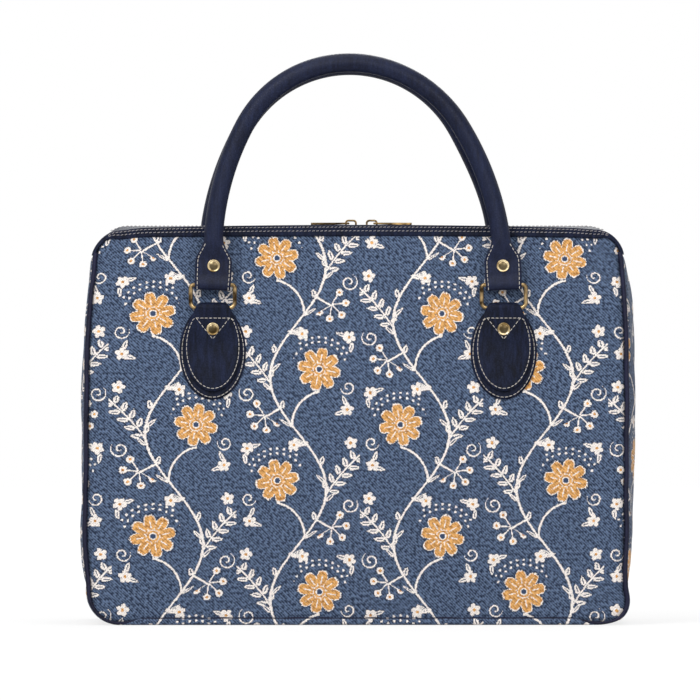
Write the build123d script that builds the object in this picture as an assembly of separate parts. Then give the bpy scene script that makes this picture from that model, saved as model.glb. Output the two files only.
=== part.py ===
from build123d import *
import math
import os

# Travel bag of woven tapestry with leather trim, a zip along the top and two rolled handles.
# X runs along the width, the front faces -Y, and the bag stands on Z = 0 round the origin.

# Body: a soft box that narrows upwards, measured over its outer faces
base_width = 390.0
top_width = 381.0
base_depth = 190.0
top_depth = 122.0
body_height = 285.0
foot_corner_radius = 24.0
shoulder_corner_radius = 18.0
face_bulge = 10.0
gusset_bulge = 7.5
panel_wall = 3.0
band_wall = 2.5
base_seam_rise = 5.0
soft_clearance = 0.3
cut_overrun = 20.0
crown_reach_share = 1.1

# Piping in the side and base seams, leather strips over the top edge
piping_diameter = 4.5
lip_height = 8.0
lip_corner_radius = 11.0
strip_edge_radius = 1.8

# Board in the base and the lining round the inside
board_thickness = 2.5
board_corner_radius = 10.0
board_end_gap = 3.0
lining_thickness = 0.8
lining_slot_width = 20.0

# Zip: tapes under the strips, a row of teeth on each, room between the rows for the slider posts
zip_opening = 14.0
zip_half_length = 166.0
tape_width = 15.0
tape_thickness = 0.8
tape_tuck = 6.0
chain_slot = 1.9
tooth_pitch = 2.8
tooth_width = 1.6
tooth_reach = 1.2
tooth_height = 2.0
tooth_spine = 1.3

# Sliders and pulls
meeting_x = 3.5
slider_spacing = 15.0
slider_length = 11.0
slider_width = 9.4
slider_plate = 1.2
slider_flange = 1.0
slider_edge_radius = 2.5
post_length = 3.5
post_width = 1.2
bail_length = 8.6
bail_height = 3.8
bail_wire = 1.4
bail_width = 2.2
bail_radius = 2.6
pull_length = 27.0
pull_root_width = 6.4
pull_tip_width = 4.4
pull_thickness = 1.3
pull_bar_diameter = 1.5
pull_window_length = 3.4
pull_window_width = 3.2
pull_droop = 2.0

# Strap tabs on oval patches, which carry the rings
tab_x = 104.0
patch_width = 47.5
patch_height = 68.0
patch_z = 195.0
patch_thickness = 2.0
strap_thickness = 2.2
leaf_width = 41.5
leaf_height = 63.0
leaf_z = 198.5
leaf_shoulder_angle = 38.0
neck_width = 21.5
neck_drop = 5.0
fold_foot_z = 201.0
tab_rivet_z = 211.5

# Wire rings
ring_wire = 3.0
ring_inside_width = 28.5
ring_bar_spacing = 16.5
ring_low_z = 226.4
ring_foot_radius = 4.2
ring_head_radius = 2.2
ring_fit = 0.08

# Rolled handles: a leather tube round a cord, flattened at the ends and folded round the rings
handle_apex_z = 401.6
handle_diameter = 13.8
handle_skin = 2.0
handle_crown_angle = 60.0
handle_leg_angle = 6.5
end_width = 25.0
end_thickness = 4.6
end_tilt = 2.5
end_shoulder_rise = 15.0
end_neck_rise = 25.0
end_neck_width = 14.6
end_roll_rise = 37.0
handle_rivet_rise = 14.0

# Rivets
cap_diameter = 9.2
cap_height = 1.9
rivet_post_diameter = 3.0


def half_width(z):
    """Half the width of the body at a height."""
    return (base_width + (top_width - base_width) * z / body_height) / 2


def half_depth(z):
    """Half the depth of the body at a height."""
    return (base_depth + (top_depth - base_depth) * z / body_height) / 2


# Places that follow from the sizes above
lean = math.atan2(base_depth - top_depth, 2 * body_height)
base_seam_z = foot_corner_radius + base_seam_rise
shoulder_seam_z = body_height - shoulder_corner_radius
piping_lane = piping_diameter + 2 * soft_clearance
panel_top_z = body_height - lip_height
panel_mid_z = (panel_top_z + piping_lane) / 2
panel_half_height = (panel_top_z - piping_lane) / 2
tape_top_z = body_height - band_wall
chain_top_z = tape_top_z + tooth_height
row_outer_y = chain_slot / 2 + tooth_reach + tooth_spine
slider_top_z = chain_top_z + soft_clearance + slider_plate
pull_bar_z = slider_top_z + soft_clearance + pull_bar_diameter / 2
pull_bar_x = bail_length / 2 - bail_wire - soft_clearance - pull_bar_diameter / 2
eye_radius = ring_wire / 2 + ring_fit + strap_thickness
ring_high_z = ring_low_z + ring_bar_spacing


def panel_half_width(z):
    """Half the width of the front panel between the two runs of piping."""
    return half_width(z) - piping_lane


def face_depth(x, z):
    """How far the crowned face of the front panel stands from the middle of the bag."""
    across_share = x / panel_half_width(z)
    up_share = (z - panel_mid_z) / panel_half_height
    return half_depth(z) + face_bulge * (1 - across_share**2) * (1 - up_share**2)


ring_y = -face_depth(tab_x, ring_low_z) - patch_thickness - soft_clearance - eye_radius


def outline(inset, foot_z, top_z, foot_radius, top_radius):
    """Front view of the body between two heights, drawn in from its sides."""
    foot = half_width(foot_z) - inset
    top = half_width(top_z) - inset
    sketch = Polygon((-foot, foot_z), (foot, foot_z), (top, top_z), (-top, top_z), align=None)
    sketch = fillet(sketch.vertices().sort_by(Axis.Y)[:2], foot_radius)
    return fillet(sketch.vertices().sort_by(Axis.Y)[-2:], top_radius)


def through_depth(sketch):
    """A front view carried right through the bag from front to back."""
    return extrude(Plane.XZ * sketch, amount=base_depth, both=True)


def through_width(sketch):
    """A side view carried right through the bag from side to side."""
    return extrude(Plane.YZ * sketch, amount=base_width, both=True)


def depth_block(inset):
    """The wedge between the leaning front and back faces, drawn in by an inset."""
    low = -cut_overrun
    high = body_height + cut_overrun
    near = half_depth(low) - inset
    far = half_depth(high) - inset
    return through_width(Polygon((-near, low), (near, low), (far, high), (-far, high), align=None))


def level_band(low, high):
    """Everything between two heights."""
    return Pos(0, 0, (low + high) / 2) * Box(2 * base_width, 2 * base_depth, high - low)


def crowned_block(place, inward):
    """A block behind a face crowned both ways. place gives the point for two steps and a crown."""
    steps = (-crown_reach_share, 0, crown_reach_share)
    crowns = (1 - crown_reach_share**2, 1 + crown_reach_share**2, 1 - crown_reach_share**2)
    rows = [
        [place(s, w, crown_s * crown_w) for w, crown_w in zip(steps, crowns)]
        for s, crown_s in zip(steps, crowns)
    ]
    return Solid.extrude(Face.make_bezier_surface(rows), inward)


def front_block(offset):
    """The block behind the face of the front panel, raised by the layers that lie on it."""

    def place(s, w, crown):
        z = panel_mid_z + w * panel_half_height
        return (s * panel_half_width(z), -half_depth(z) - offset - face_bulge * crown, z)

    return crowned_block(place, (0, top_depth / 2, 0))


def right_block():
    """The block behind the bulging face of the right gusset."""
    middle = (base_seam_z + shoulder_seam_z) / 2
    half_height = (shoulder_seam_z - base_seam_z) / 2

    def place(s, w, crown):
        z = middle + w * half_height
        return (half_width(z) + gusset_bulge * crown, s * half_depth(z), z)

    return crowned_block(place, (-top_width / 4, 0, 0))


body_view = outline(0, 0, body_height, foot_corner_radius, shoulder_corner_radius)
inner_view = offset(body_view, -band_wall)
panel_view = outline(
    piping_lane, piping_lane, panel_top_z, foot_corner_radius - piping_lane, lip_corner_radius
)
band = (through_depth(body_view) - through_depth(inner_view)) & depth_block(panel_wall)
front_skin = front_block(0)


def front_panel():
    """Crowned panel inside the piping, flat on its inner side."""
    return (through_depth(panel_view) & front_skin) - depth_block(panel_wall)


def right_gusset():
    """Bulging side between the base seam and the shoulder seam."""
    side = right_block() & depth_block(panel_wall) & level_band(base_seam_z, shoulder_seam_z)
    return side - through_depth(inner_view)


def base_panel():
    """Flat base, turned up round the foot corners."""
    return band & level_band(-cut_overrun, base_seam_z)


def front_strip():
    """Leather strip from the zip to the top edge, folded down over the front as a lip."""
    crest = level_band(shoulder_seam_z, body_height + cut_overrun)
    ahead = Pos(0, -base_depth - zip_opening / 2, 0) * Box(2 * base_width, 2 * base_depth, 4 * body_height)
    lip = ((through_depth(body_view) & crest) - through_depth(panel_view)) & front_skin
    strip = (band & crest & ahead) + (lip - depth_block(panel_wall))
    rim = Plane.XZ * body_view.wire()
    edges = [
        edge
        for edge in strip.edges()
        if abs((edge @ 0.5).Y + face_depth((edge @ 0.5).X, (edge @ 0.5).Z)) < soft_clearance
        and rim.distance_to(Vector((edge @ 0.5).X, 0, (edge @ 0.5).Z)) < soft_clearance
        and abs((edge @ 0.5).Z - shoulder_seam_z) > soft_clearance
    ]
    return fillet(edges, strip_edge_radius)


def right_zip_end():
    """Leather tab that closes the opening between the strips past the end of the zip."""
    gate = Pos(zip_half_length + base_width / 2, 0, 0) * Box(base_width, zip_opening, 4 * body_height)
    return band & gate & level_band(shoulder_seam_z, body_height + cut_overrun)


def front_piping():
    """Cord in the seam round the sides and the foot of the front panel."""
    radius = piping_diameter / 2
    inset = radius + soft_clearance
    seam = Plane(
        origin=(0, panel_wall - half_depth(0), 0),
        x_dir=(1, 0, 0),
        z_dir=(0, -math.cos(lean), math.sin(lean)),
    ).offset(inset)
    top_z = shoulder_seam_z - soft_clearance - radius * math.sin(lean)
    foot_rise = (inset - inset * math.sin(lean)) / math.cos(lean)
    top_rise = (top_z - inset * math.sin(lean)) / math.cos(lean)
    foot = half_width(inset) - inset
    top = half_width(top_z) - inset
    path = seam * FilletPolyline(
        (-top, top_rise), (-foot, foot_rise), (foot, foot_rise), (top, top_rise), radius=foot_corner_radius - inset
    )
    return sweep(Plane(path @ 0, z_dir=path % 0) * Circle(radius), path=path)


def base_board():
    """Stiff board on the inside of the base."""
    top_z = band_wall + board_thickness
    length = 2 * (half_width(0) - foot_corner_radius - board_end_gap)
    width = 2 * (half_depth(top_z) - panel_wall - soft_clearance)
    return Pos(0, 0, band_wall) * extrude(RectangleRounded(length, width, board_corner_radius), board_thickness)


def lining():
    """Thin bag inside the walls, open along the zip."""
    low = band_wall + board_thickness + soft_clearance
    high = tape_top_z - tape_thickness - soft_clearance
    window = Pos(0, (low + high) / 2) * Rectangle(2 * base_width, high - low)
    view = offset(body_view, -band_wall - soft_clearance) & window
    wall = panel_wall + soft_clearance
    bag = through_depth(view) & depth_block(wall)
    hollow = through_depth(offset(view, -lining_thickness)) & depth_block(wall + lining_thickness)
    slot = Pos(0, 0, high) * Box(2 * zip_half_length, lining_slot_width, 4 * lining_thickness)
    return bag - hollow - slot


def front_tape():
    """Woven tape of the zip, under the front strip."""
    length = 2 * (zip_half_length + tape_tuck)
    middle_y = -(chain_slot + tape_width) / 2
    return Pos(0, middle_y, tape_top_z - tape_thickness / 2) * Box(length, tape_width, tape_thickness)


def front_teeth():
    """Row of teeth on the front tape, carried by one spine."""
    count = int((2 * zip_half_length - tooth_width) // tooth_pitch)
    start = -count * tooth_pitch / 2
    tip_y = -chain_slot / 2
    root_y = tip_y - tooth_reach
    points = [(start - tooth_width / 2, -row_outer_y)]
    for number in range(count + 1):
        left = start + number * tooth_pitch - tooth_width / 2
        right = left + tooth_width
        points += [(left, root_y), (left, tip_y), (right, tip_y), (right, root_y)]
    points.append((points[-1][0], -row_outer_y))
    return Pos(0, 0, tape_top_z) * extrude(Polygon(*points, align=None), tooth_height, dir=(0, 0, 1))


def right_slider():
    """Slider with two plates on a post, side flanges and a bail for the pull."""
    plan = RectangleRounded(slider_length, slider_width, slider_edge_radius)
    under_z = tape_top_z - tape_thickness - soft_clearance - slider_plate
    top = Pos(0, 0, slider_top_z - slider_plate) * extrude(plan, slider_plate)
    under = Pos(0, 0, under_z) * extrude(plan, slider_plate)
    post_x = -(slider_length - post_length) / 2
    post_height = slider_top_z - under_z
    post = Pos(post_x, 0, under_z + post_height / 2) * Box(post_length, post_width, post_height)
    flange_foot_z = tape_top_z + soft_clearance
    flange_height = slider_top_z - flange_foot_z
    flange_y = (slider_width - slider_flange) / 2
    flange_length = slider_length - 2 * slider_edge_radius
    flange = Box(flange_length, slider_flange, flange_height)
    flange_z = flange_foot_z + flange_height / 2
    arch = Pos(0, bail_height / 2) * Rectangle(bail_length, bail_height)
    arch = fillet(arch.vertices().sort_by(Axis.Y)[-2:], bail_radius)
    eye_height = bail_height - bail_wire
    eye = Pos(0, eye_height / 2) * Rectangle(bail_length - 2 * bail_wire, eye_height)
    eye = fillet(eye.vertices().sort_by(Axis.Y)[-2:], bail_radius - bail_wire)
    bail = extrude(Plane.XZ * (arch - eye), bail_width / 2, both=True)
    slider = top + under + post + Pos(0, flange_y, flange_z) * flange + Pos(0, -flange_y, flange_z) * flange
    return Pos(slider_spacing / 2, 0, 0) * (slider + Pos(0, 0, slider_top_z) * bail)


def right_pull():
    """Tapered pull whose bar passes under the bail, lying outwards along the zip."""
    blade = Polygon(
        (0, -pull_root_width / 2),
        (pull_length, -pull_tip_width / 2),
        (pull_length, pull_tip_width / 2),
        (0, pull_root_width / 2),
        align=None,
    )
    blade = fillet(blade.vertices().sort_by(Axis.X)[-2:], pull_tip_width / 3)
    window = Pos(pull_window_length / 2, 0) * Rectangle(pull_window_length, pull_window_width)
    pull = extrude(blade - window, pull_thickness / 2, both=True)
    pull += Rot(90, 0, 0) * Cylinder(pull_bar_diameter / 2, pull_root_width)
    return Pos(slider_spacing / 2 + pull_bar_x, 0, pull_bar_z) * (Rot(0, pull_droop, 0) * pull)


def rivet_cap():
    """Domed cap, flat on the origin and rising along Z."""
    radius = cap_diameter / 2
    sphere = (radius**2 + cap_height**2) / (2 * cap_height)
    sweep_angle = math.degrees(math.asin(radius / sphere))
    dome = JernArc(start=(0, cap_height), tangent=(1, 0), radius=sphere, arc_size=-sweep_angle)
    rim = Polyline(dome @ 1, (0, 0), (0, cap_height))
    return revolve(Plane.XZ * make_face([dome, rim]), axis=Axis.Z)


def fold_line():
    """Foot and head of the strap's sloping front, as (y, z), from the leaf up to the folded eye."""
    foot_y = -face_depth(tab_x, fold_foot_z) - patch_thickness - strap_thickness
    return (foot_y, fold_foot_z), (ring_y - eye_radius, ring_low_z)


def tab_rivet():
    """Dome rivet through the doubled strap and the patch of the right-hand tab."""
    (foot_y, foot_z), (head_y, head_z) = fold_line()
    rise_share = (tab_rivet_z - foot_z) / (head_z - foot_z)
    seat = Plane(
        origin=(tab_x, foot_y + rise_share * (head_y - foot_y), tab_rivet_z),
        x_dir=(1, 0, 0),
        z_dir=(0, foot_z - head_z, head_y - foot_y),
    )
    length = 2 * (patch_thickness + 2 * eye_radius)
    post = Pos(0, 0, -length / 2) * Cylinder(rivet_post_diameter / 2, length)
    return seat * rivet_cap() + (seat * post - front_skin)


def patch():
    """Oval patch that lies on the crowned face of the panel."""
    oval = Pos(tab_x, patch_z) * Ellipse(patch_width / 2, patch_height / 2)
    layer = front_block(patch_thickness) - front_skin
    return (through_depth(oval) & layer) - tab_rivet()


def strap_tab():
    """Strap with an oval leaf on the patch and a neck folded round the lower bar of the ring."""
    turn = leaf_shoulder_angle
    leaf_arc = EllipticalCenterArc(
        (tab_x, leaf_z), leaf_width / 2, leaf_height / 2, start_angle=180 - turn, arc_size=180 + 2 * turn
    )
    neck_z = ring_low_z - neck_drop
    left = (tab_x - neck_width / 2, neck_z)
    right = (tab_x + neck_width / 2, neck_z)
    left_hollow = TangentArc(left, leaf_arc @ 0, tangent=(0, -1))
    right_hollow = TangentArc(right, leaf_arc @ 1, tangent=(0, -1))
    neck = Polyline(left, (left[0], ring_low_z), (right[0], ring_low_z), right)
    view = make_face([leaf_arc, left_hollow, right_hollow, neck])
    foot, head = fold_line()
    back_y = -face_depth(tab_x, fold_foot_z)
    fold = Polygon(foot, head, (ring_y + eye_radius, ring_low_z), (back_y, fold_foot_z), align=None)
    leaf = through_depth(view) & front_block(patch_thickness + strap_thickness)
    fold = through_depth(view) & through_width(fold)
    eye = Pos(tab_x, ring_y, ring_low_z) * (Rot(0, 90, 0) * Cylinder(eye_radius, neck_width))
    bore = Pos(tab_x, ring_y, ring_low_z) * (Rot(0, 90, 0) * Cylinder(ring_wire / 2 + ring_fit, leaf_width))
    return leaf + fold + eye - front_block(patch_thickness) - bore - tab_rivet()


def ring():
    """Wire ring between the right-hand strap tab and the handle, rounder at its foot."""
    half = (ring_inside_width + ring_wire) / 2
    path = Plane.XZ.offset(-ring_y) * FilletPolyline(
        (tab_x - half, ring_low_z),
        (tab_x + half, ring_low_z),
        (tab_x + half, ring_high_z),
        (tab_x - half, ring_high_z),
        radius=[ring_foot_radius, ring_foot_radius, ring_head_radius, ring_head_radius],
        close=True,
    )
    return sweep(Plane(path @ 0, z_dir=path % 0) * Circle(ring_wire / 2), path=path)


def end_frame():
    """Frame of the right-hand end of the handle: up the end from the upper bar of the ring."""
    tilt = math.radians(end_tilt)
    return Plane(
        origin=(tab_x, ring_y, ring_high_z), x_dir=(math.cos(tilt), 0, math.sin(tilt)), z_dir=(0, -1, 0)
    )


def handle_path():
    """Middle line of the roll: a crown arc between two flatter leg arcs, all tangent."""
    foot = end_frame().from_local_coords((0, end_roll_rise, 0))
    span = foot.X
    rise = handle_apex_z - foot.Z
    turn = math.radians(handle_crown_angle)
    stop = math.radians(90 - handle_leg_angle)
    a, b = math.sin(turn), math.sin(stop) - math.sin(turn)
    c, d = 1 - math.cos(turn), math.cos(turn) - math.cos(stop)
    crown_radius = (span * d - rise * b) / (a * d - b * c)
    leg_radius = (rise * a - span * c) / (a * d - b * c)
    leg_turn = math.degrees(stop - turn)
    leg = math.radians(handle_leg_angle)
    rising = JernArc((-span, foot.Z), (math.sin(leg), math.cos(leg)), leg_radius, -leg_turn)
    crown = JernArc(rising @ 1, rising % 1, crown_radius, -2 * handle_crown_angle)
    falling = JernArc(crown @ 1, crown % 1, leg_radius, -leg_turn)
    return Plane.XZ.offset(-ring_y) * Wire([rising, crown, falling])


def handle_rivet():
    """Rivet with a domed cap on each side of the right-hand end."""
    seat = end_frame() * Pos(0, handle_rivet_rise, 0)
    half = end_thickness / 2
    post = Cylinder(rivet_post_diameter / 2, end_thickness)
    return seat * (Pos(0, 0, half) * rivet_cap() + Pos(0, 0, -half) * (Rot(180, 0, 0) * rivet_cap()) + post)


def handle_end(path):
    """Right-hand end: the roll flattens into a shouldered strap folded round the ring."""
    frame = end_frame()
    half = end_width / 2
    neck = end_neck_width / 2
    foot = -eye_radius
    right_side = Line((half, foot), (half, end_shoulder_rise))
    left_side = Line((-half, end_shoulder_rise), (-half, foot))
    right_hollow = TangentArc((neck, end_neck_rise), (half, end_shoulder_rise), tangent=(0, -1))
    left_hollow = TangentArc((-neck, end_neck_rise), (-half, end_shoulder_rise), tangent=(0, -1))
    head = Line((-neck, end_neck_rise), (neck, end_neck_rise))
    sole = Line((-half, foot), (half, foot))
    view = make_face([right_side, right_hollow, head, left_hollow, left_side, sole])
    strap = extrude(frame * view, end_thickness / 2, both=True) - level_band(-cut_overrun, ring_high_z)
    flat = Plane(frame.from_local_coords((0, end_neck_rise, 0)), x_dir=frame.x_dir, z_dir=frame.y_dir)
    roll = Plane(path @ 1, x_dir=frame.x_dir, z_dir=-(path % 1))
    flare = loft([flat * Ellipse(neck, end_thickness / 2), roll * Circle(handle_diameter / 2)])
    eye = Pos(tab_x, ring_y, ring_high_z) * (Rot(0, 90, 0) * Cylinder(eye_radius, end_width))
    bore = Pos(tab_x, ring_y, ring_high_z) * (Rot(0, 90, 0) * Cylinder(ring_wire / 2 + ring_fit, 2 * end_width))
    return strap + flare + eye - bore - handle_rivet()


def front_handle():
    """Leather cover of the roll with both ends, and the cord inside it."""
    path = handle_path()
    start = Plane(path @ 0, z_dir=path % 0)
    skin = start * (Circle(handle_diameter / 2) - Circle(handle_diameter / 2 - handle_skin))
    end = handle_end(path)
    cover = sweep(skin, path=path) + end + mirror(end, about=Plane.YZ)
    return cover, sweep(start * Circle(handle_diameter / 2 - handle_skin), path=path)


def mirrored(part):
    """The same piece on the other side of the bag."""
    return mirror(part, about=Plane.YZ)


def turned(part):
    """The same piece on the back of the bag."""
    return Rot(0, 0, 180) * part


nodes = {
    "front_panel": front_panel(),
    "right_gusset": right_gusset(),
    "base_panel": base_panel(),
    "front_top_strip": front_strip(),
    "right_zip_end": right_zip_end(),
    "front_piping": front_piping(),
    "base_board": base_board(),
    "lining": lining(),
    "front_zip_tape": front_tape(),
    "front_zip_teeth": front_teeth(),
}
for name in ("panel", "top_strip", "piping", "zip_tape", "zip_teeth"):
    nodes["back_" + name] = turned(nodes["front_" + name])
for name in ("gusset", "zip_end"):
    nodes["left_" + name] = mirrored(nodes["right_" + name])

slider = right_slider()
pull = right_pull()
nodes["right_slider"] = Pos(meeting_x, 0, 0) * slider
nodes["left_slider"] = Pos(meeting_x, 0, 0) * mirrored(slider)
nodes["right_pull"] = Pos(meeting_x, 0, 0) * pull
nodes["left_pull"] = Pos(meeting_x, 0, 0) * mirrored(pull)

for name, piece in (("patch", patch()), ("strap_tab", strap_tab()), ("ring", ring())):
    nodes["front_right_" + name] = piece
    nodes["front_left_" + name] = mirrored(piece)
    nodes["back_left_" + name] = turned(piece)
    nodes["back_right_" + name] = turned(mirrored(piece))

rivet = tab_rivet()
front_rivets = [rivet, mirrored(rivet)]
nodes["tab_rivets"] = Compound(children=front_rivets + [turned(item) for item in front_rivets])

cover, core = front_handle()
end_rivet = handle_rivet()
end_rivets = [end_rivet, mirrored(end_rivet)]
nodes["front_handle_cover"] = cover
nodes["front_handle_core"] = core
nodes["front_handle_rivets"] = Compound(children=end_rivets)
nodes["back_handle_cover"] = turned(cover)
nodes["back_handle_core"] = turned(core)
nodes["back_handle_rivets"] = Compound(children=[turned(item) for item in end_rivets])

os.makedirs("parts", exist_ok=True)
for name, solid in nodes.items():
    export_step(solid, f"parts/{name}.step")
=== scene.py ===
import math
from functools import reduce

import bmesh
import bpy
import numpy as np
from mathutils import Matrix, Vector


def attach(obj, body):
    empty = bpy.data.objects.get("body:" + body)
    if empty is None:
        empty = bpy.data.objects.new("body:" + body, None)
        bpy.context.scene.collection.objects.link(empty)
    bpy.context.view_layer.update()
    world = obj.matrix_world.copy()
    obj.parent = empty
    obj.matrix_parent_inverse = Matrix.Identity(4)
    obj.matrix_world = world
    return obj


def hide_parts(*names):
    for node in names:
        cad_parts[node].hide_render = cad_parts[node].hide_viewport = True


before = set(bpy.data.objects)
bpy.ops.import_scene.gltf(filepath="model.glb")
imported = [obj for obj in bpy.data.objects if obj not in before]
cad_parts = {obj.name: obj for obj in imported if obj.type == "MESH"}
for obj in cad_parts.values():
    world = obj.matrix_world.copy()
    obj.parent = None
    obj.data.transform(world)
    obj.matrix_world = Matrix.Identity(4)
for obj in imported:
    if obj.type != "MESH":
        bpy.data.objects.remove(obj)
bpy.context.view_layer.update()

# Sizes of the bag, as in the part's source, in metres. The front faces -Y and the bag stands on Z = 0.
mm = 0.001
base_width, top_width = 390 * mm, 381 * mm
base_depth, top_depth = 190 * mm, 122 * mm
body_height = 285 * mm
foot_radius, shoulder_radius = 24 * mm, 18 * mm
face_bulge = 10 * mm
panel_wall = 3 * mm
piping_radius, piping_lane = 2.25 * mm, 5.1 * mm
base_seam_z, shoulder_seam_z = 29 * mm, 267 * mm
panel_top_z, panel_mid_z, panel_half_height = 277 * mm, 141.05 * mm, 135.95 * mm
zip_opening, zip_half_length = 14 * mm, 166 * mm
tape_top_z = 282.5 * mm
tab_x = 104 * mm
patch_width, patch_height, patch_z, patch_thickness = 47.5 * mm, 68 * mm, 195 * mm, 2 * mm
leaf_width, leaf_height, leaf_z, strap_thickness = 41.5 * mm, 63 * mm, 198.5 * mm, 2.2 * mm
fold_foot_z = 201 * mm
ring_low_z, ring_high_z, eye_radius = 226.4 * mm, 242.9 * mm, 3.78 * mm
handle_apex_z, handle_radius = 401.6 * mm, 6.9 * mm
crown_angle, leg_angle, end_tilt = math.radians(60), math.radians(6.5), math.radians(2.5)
end_half_width, end_half_thickness = 12.8 * mm, 2.3 * mm
flare_rise, roll_rise = 17 * mm, 37 * mm
lean = math.atan2(base_depth - top_depth, 2 * body_height)

# How this one bag stands; pairs are its left and its right
zip_calm, zip_fade = 14 * mm, 26 * mm
shoulder_start, shoulder_stop = 150 * mm, 182 * mm
shoulder_drop, shoulder_draw = (1.9 * mm, 1.1 * mm), (2.2 * mm, -1.5 * mm)
edge_sag = 1.2 * mm
side_start, side_fade = 130 * mm, 55 * mm
side_push, foot_tuck = (-4.0 * mm, 2.1 * mm), 1.6 * mm
foot_push, foot_drop, sole_rise = 5.0 * mm, 2.6 * mm, 5 * mm


def half_width(z):
    return (base_width + (top_width - base_width) * z / body_height) / 2


def half_depth(z):
    return (base_depth + (top_depth - base_depth) * z / body_height) / 2


def face_depth(x, z):
    """How far the crowned front stands from the middle of the bag."""
    across = x / (half_width(z) - piping_lane)
    up = (z - panel_mid_z) / panel_half_height
    return half_depth(z) + face_bulge * (1 - across**2) * (1 - up**2)


def within(value):
    """A value kept between 0 and 1."""
    return np.clip(value, 0, 1)


def ease(share):
    """A soft step from 0 to 1."""
    share = within(share)
    return share * share * (3 - 2 * share)


def joined(*parts):
    """Points from their coordinates, each of them an array or one number."""
    return np.stack(np.broadcast_arrays(*parts), -1)


def bell(distance, width):
    """1 at no distance, fading to nothing past a width."""
    return np.exp(-((distance / width) ** 2))


def side_bow(x, z):
    """How far the side seams are pushed out between foot and shoulder; the right one is tucked in at its foot."""
    left = side_push[0] * ease((z - 15 * mm) / (60 * mm)) * ease((270 * mm - z) / (65 * mm))
    right = side_push[1] * ease((z - 70 * mm) / (90 * mm)) * ease((272 * mm - z) / (50 * mm))
    right = right - foot_tuck * bell(z - 36 * mm, 22 * mm)
    return np.where(x < 0, left, right) * ease((np.abs(x) - side_start) / side_fade)


def settled(points):
    """The top edges sag to their ends beside the straight zip, the shoulders sink, the left one more, the
    sides bow and the right foot is pressed out."""
    points = np.array(points, float)
    x, y, z = (points[..., i].copy() for i in range(3))
    aside = ease((np.abs(y) - zip_calm) / zip_fade)
    bend = zip_half_length + (shoulder_start - zip_half_length) * aside
    near = ease((np.abs(x) - bend) / (shoulder_stop - bend))
    sag = np.maximum(aside, near) * edge_sag * (x / shoulder_start) ** 2
    high = ease((z - 235 * mm) / (45 * mm))
    points[..., 2] -= high * (near * np.where(x < 0, *shoulder_drop) + sag)
    points[..., 0] += near * ease((z - 262 * mm) / (20 * mm)) * np.where(x < 0, *shoulder_draw)
    across = within((x - half_width(0) + foot_radius) / foot_radius)
    pressed = across * within(1 - z / foot_radius)
    points[..., 0] += foot_push * pressed + side_bow(x, z)
    points[..., 2] -= foot_drop * pressed * within(z / sole_rise)
    return points


ring_y = -face_depth(tab_x, ring_low_z) - patch_thickness - 0.3 * mm - eye_radius


# Shader and geometry trees, written as expressions


def math_call(operation, swapped=False):
    """A method that adds a Math node to the tree of its wire."""

    def call(self, *others):
        values = (*others, self) if swapped else (self, *others)
        return self.net.node("ShaderNodeMath", {"operation": operation}, dict(enumerate(values)))

    return call


class Wire:
    """A socket's value. Sums, products and comparisons of wires add their Math nodes."""

    def __init__(self, net, socket):
        self.net, self.socket = net, socket

    __add__, __radd__ = math_call("ADD"), math_call("ADD", True)
    __sub__, __rsub__ = math_call("SUBTRACT"), math_call("SUBTRACT", True)
    __mul__, __rmul__ = math_call("MULTIPLY"), math_call("MULTIPLY", True)
    __truediv__, __mod__, __pow__ = math_call("DIVIDE"), math_call("FLOORED_MODULO"), math_call("POWER")
    __lt__, __gt__ = math_call("LESS_THAN"), math_call("GREATER_THAN")
    __abs__, floor, sqrt = math_call("ABSOLUTE"), math_call("FLOOR"), math_call("SQRT")
    sin, cos = math_call("SINE"), math_call("COSINE")
    low, high = math_call("MINIMUM"), math_call("MAXIMUM")
    turn_to = math_call("ARCTAN2")  # the angle of the point (other, self)

    def held(self):
        """The value kept between 0 and 1."""
        return self.high(0).low(1)


class Net:
    """A node tree that is filled by expressions."""

    def __init__(self, tree):
        self.tree = tree

    def node(self, kind, settings, sockets, out=0):
        """Adds a node, its settings first, then the values or wires of its sockets."""
        made = self.tree.nodes.new(kind)
        for key, value in settings.items():
            setattr(made, key, value)
        for key, value in sockets.items():
            if isinstance(value, Wire):
                self.tree.links.new(value.socket, made.inputs[key])
            else:
                made.inputs[key].default_value = value
        return Wire(self, made.outputs[out])

    def blend(self, share, first, second):
        """A colour between two colours."""
        return self.node("ShaderNodeMix", {"data_type": "RGBA"}, {0: share, 6: first, 7: second}, 2)

    def noise(self, place, scale, detail):
        return self.node("ShaderNodeTexNoise", {}, {"Vector": place, "Scale": scale, "Detail": detail})


def tone(red, green, blue):
    """A colour from its screen values, 0 to 255, as the shader takes it."""
    line = [c / 255 / 12.92 if c <= 10 else ((c / 255 + 0.055) / 1.055) ** 2.4 for c in (red, green, blue)]
    return (*line, 1.0)


class Finish(Net):
    """A material: a Principled shader and what feeds it."""

    def __init__(self, name, **constants):
        self.material = bpy.data.materials.new(name)
        self.material.use_nodes = True
        super().__init__(self.material.node_tree)
        self.tree.nodes.clear()
        self.shader = self.tree.nodes.new("ShaderNodeBsdfPrincipled")
        output = self.tree.nodes.new("ShaderNodeOutputMaterial")
        self.tree.links.new(self.shader.outputs[0], output.inputs["Surface"])
        for key, value in constants.items():
            self.shader.inputs[key.replace("_", " ")].default_value = value

    def feed(self, socket, wire):
        self.tree.links.new(wire.socket, self.shader.inputs[socket])

    def place(self):
        return self.node("ShaderNodeTexCoord", {}, {}, 3)

    def cloth_place(self):
        return self.node("ShaderNodeUVMap", {"uv_map": "cloth"}, {})

    def apart(self, place):
        made = self.tree.nodes.new("ShaderNodeSeparateXYZ")
        self.tree.links.new(place.socket, made.inputs[0])
        return [Wire(self, made.outputs[i]) for i in range(3)]

    def bump(self, height, distance, strength):
        sockets = {"Strength": strength, "Distance": distance, "Height": height}
        self.feed("Normal", self.node("ShaderNodeBump", {}, sockets))


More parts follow.
